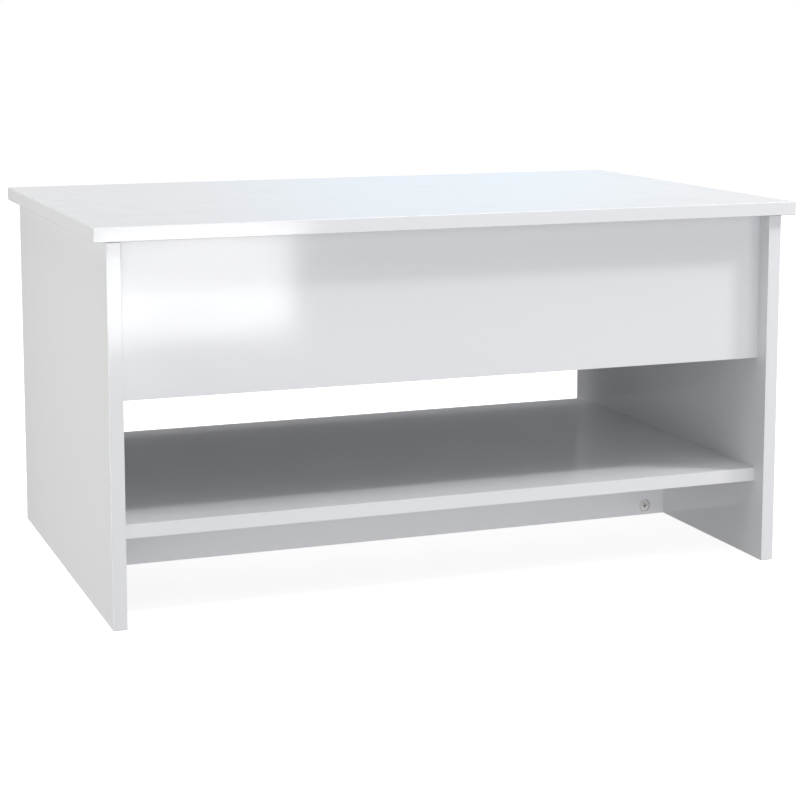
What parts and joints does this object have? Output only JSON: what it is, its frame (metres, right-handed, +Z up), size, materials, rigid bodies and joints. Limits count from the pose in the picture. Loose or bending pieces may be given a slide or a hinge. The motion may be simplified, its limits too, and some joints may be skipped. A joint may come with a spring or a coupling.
{
  "type": "lift top coffee table",
  "caption": "White high gloss coffee table with an open shelf and a hidden storage compartment; its top lifts up and forward on spring linkages to a higher working height.",
  "frame": {"origin": "on the floor, under the middle of the closed table", "axes": "+X to the right along the long side, +Y to the back, +Z up; the top comes forward along -Y as it rises"},
  "size_m": [0.8, 0.5, 0.415],
  "materials": {
    "gloss_board": "white high gloss laminate on engineered wood, edges banded to match",
    "zinc_steel": "bright zinc plated, satin",
    "spring_steel": "drawn spring wire, oiled",
    "cast_zinc": "die cast zinc, tumbled",
    "clear_rubber": "soft clear bumper"
  },
  "bodies": {
    "root": {"bumper_pad_front_left": "clear_rubber", "bumper_pad_front_right": "clear_rubber", "bumper_pad_rear_left": "clear_rubber", "bumper_pad_rear_right": "clear_rubber", "cam_bolt_floor_front_left": "zinc_steel", "cam_bolt_floor_front_right": "zinc_steel", "cam_bolt_floor_rear_left": "zinc_steel", "cam_bolt_floor_rear_right": "zinc_steel", "cam_bolt_front_apron_left": "zinc_steel", "cam_bolt_front_apron_right": "zinc_steel", "cam_bolt_rear_apron_left": "zinc_steel", "cam_bolt_rear_apron_right": "zinc_steel", "cam_bolt_shelf_front_left": "zinc_steel", "cam_bolt_shelf_front_right": "zinc_steel", "cam_bolt_shelf_rear_left": "zinc_steel", "cam_bolt_shelf_rear_right": "zinc_steel", "cam_bolt_support_left": "zinc_steel", "cam_bolt_support_right": "zinc_steel", "cam_lock_floor_front_left": "cast_zinc", "cam_lock_floor_front_right": "cast_zinc", "cam_lock_floor_rear_left": "cast_zinc", "cam_lock_floor_rear_right": "cast_zinc", "cam_lock_front_apron_left": "cast_zinc", "cam_lock_front_apron_right": "cast_zinc", "cam_lock_rear_apron_left": "cast_zinc", "cam_lock_rear_apron_right": "cast_zinc", "cam_lock_shelf_front_left": "cast_zinc", "cam_lock_shelf_front_right": "cast_zinc", "cam_lock_shelf_rear_left": "cast_zinc", "cam_lock_shelf_rear_right": "cast_zinc", "cam_lock_support_left": "cast_zinc", "cam_lock_support_right": "cast_zinc", "compartment_floor": "gloss_board", "front_apron": "gloss_board", "lift_base_plate_left": "zinc_steel", "lift_base_plate_right": "zinc_steel", "lift_spring_left": "spring_steel", "lift_spring_right": "spring_steel", "lower_shelf": "gloss_board", "pivot_rivet_front_base_left": "zinc_steel", "pivot_rivet_front_base_right": "zinc_steel", "pivot_rivet_rear_base_left": "zinc_steel", "pivot_rivet_rear_base_right": "zinc_steel", "rear_apron": "gloss_board", "shelf_support": "gloss_board", "side_panel_left": "gloss_board", "side_panel_right": "gloss_board"},
    "left_front_arm": {"lift_front_arm_left": "zinc_steel"},
    "left_rear_arm": {"lift_rear_arm_left": "zinc_steel"},
    "right_front_arm": {"lift_front_arm_right": "zinc_steel"},
    "right_rear_arm": {"lift_rear_arm_right": "zinc_steel"},
    "tabletop": {"table_top": "gloss_board", "lift_top_bracket_left": "zinc_steel", "lift_top_bracket_right": "zinc_steel", "pivot_rivet_front_top_left": "zinc_steel", "pivot_rivet_front_top_right": "zinc_steel", "pivot_rivet_rear_top_left": "zinc_steel", "pivot_rivet_rear_top_right": "zinc_steel"}
  },
  "joints": [
    {"name": "lift", "type": "hinge", "parent": "root", "child": "left_front_arm", "pos_m": [-0.3645, -0.145, 0.32], "axis": [1, 0, 0], "range_deg": [0, 100]},
    {"name": "top_level", "type": "hinge", "parent": "left_front_arm", "child": "tabletop", "pos_m": [-0.3645, 0.07817, 0.37564], "axis": [1, 0, 0], "range_deg": [-100, 0]},
    {"name": "left_rear_arm_swing", "type": "hinge", "parent": "root", "child": "left_rear_arm", "pos_m": [-0.3645, -0.05, 0.3], "axis": [1, 0, 0], "range_deg": [0, 100], "deforming": ["lift_spring_left"]},
    {"name": "right_front_arm_swing", "type": "hinge", "parent": "root", "child": "right_front_arm", "pos_m": [0.3645, -0.145, 0.32], "axis": [1, 0, 0], "range_deg": [0, 100]},
    {"name": "right_rear_arm_swing", "type": "hinge", "parent": "root", "child": "right_rear_arm", "pos_m": [0.3645, -0.05, 0.3], "axis": [1, 0, 0], "range_deg": [0, 100], "deforming": ["lift_spring_right"]}
  ],
  "couplings": [
    {"joint": "top_level", "follows": "lift", "ratio": -1},
    {"joint": "left_rear_arm_swing", "follows": "lift", "ratio": 1},
    {"joint": "right_front_arm_swing", "follows": "lift", "ratio": 1},
    {"joint": "right_rear_arm_swing", "follows": "lift", "ratio": 1}
  ]
}
